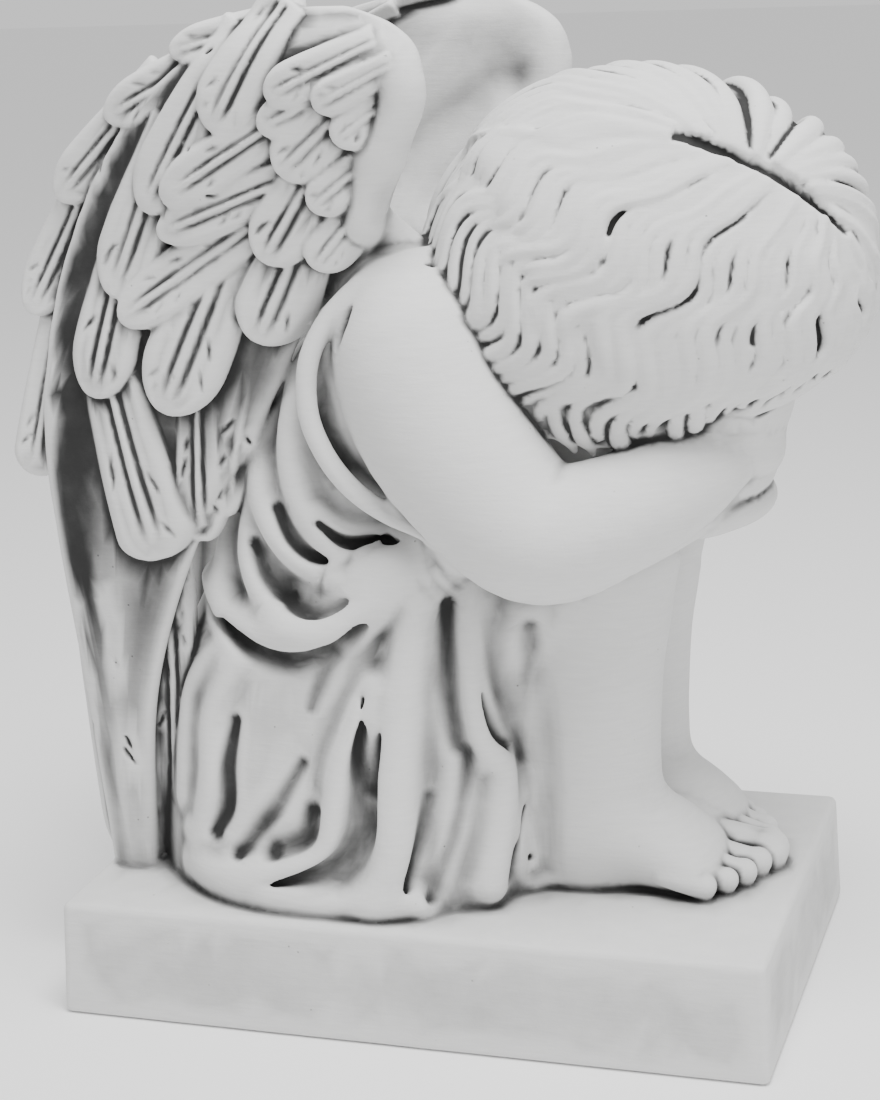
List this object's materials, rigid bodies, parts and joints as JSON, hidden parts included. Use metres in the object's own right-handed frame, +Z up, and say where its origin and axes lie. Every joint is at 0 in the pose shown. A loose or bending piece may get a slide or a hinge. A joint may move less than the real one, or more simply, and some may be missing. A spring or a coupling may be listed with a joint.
{
  "type": "cemetery angel statue",
  "caption": "Seated weeping cherub angel with folded wings, head bowed on its crossed arms and raised knees, cast in stone with its rectangular plinth.",
  "frame": {"origin": "middle of the plinth's underside", "axes": "+X the way the figure faces, along the plinth's length; +Y the figure's left; +Z up"},
  "size_m": [0.3719, 0.194, 0.4202],
  "materials": {
    "cast_stone": "matt pale grey cast stone with dark grey antiquing in the recesses"
  },
  "bodies": {
    "root": {"angel_casting": "cast_stone"}
  },
  "joints": []
}
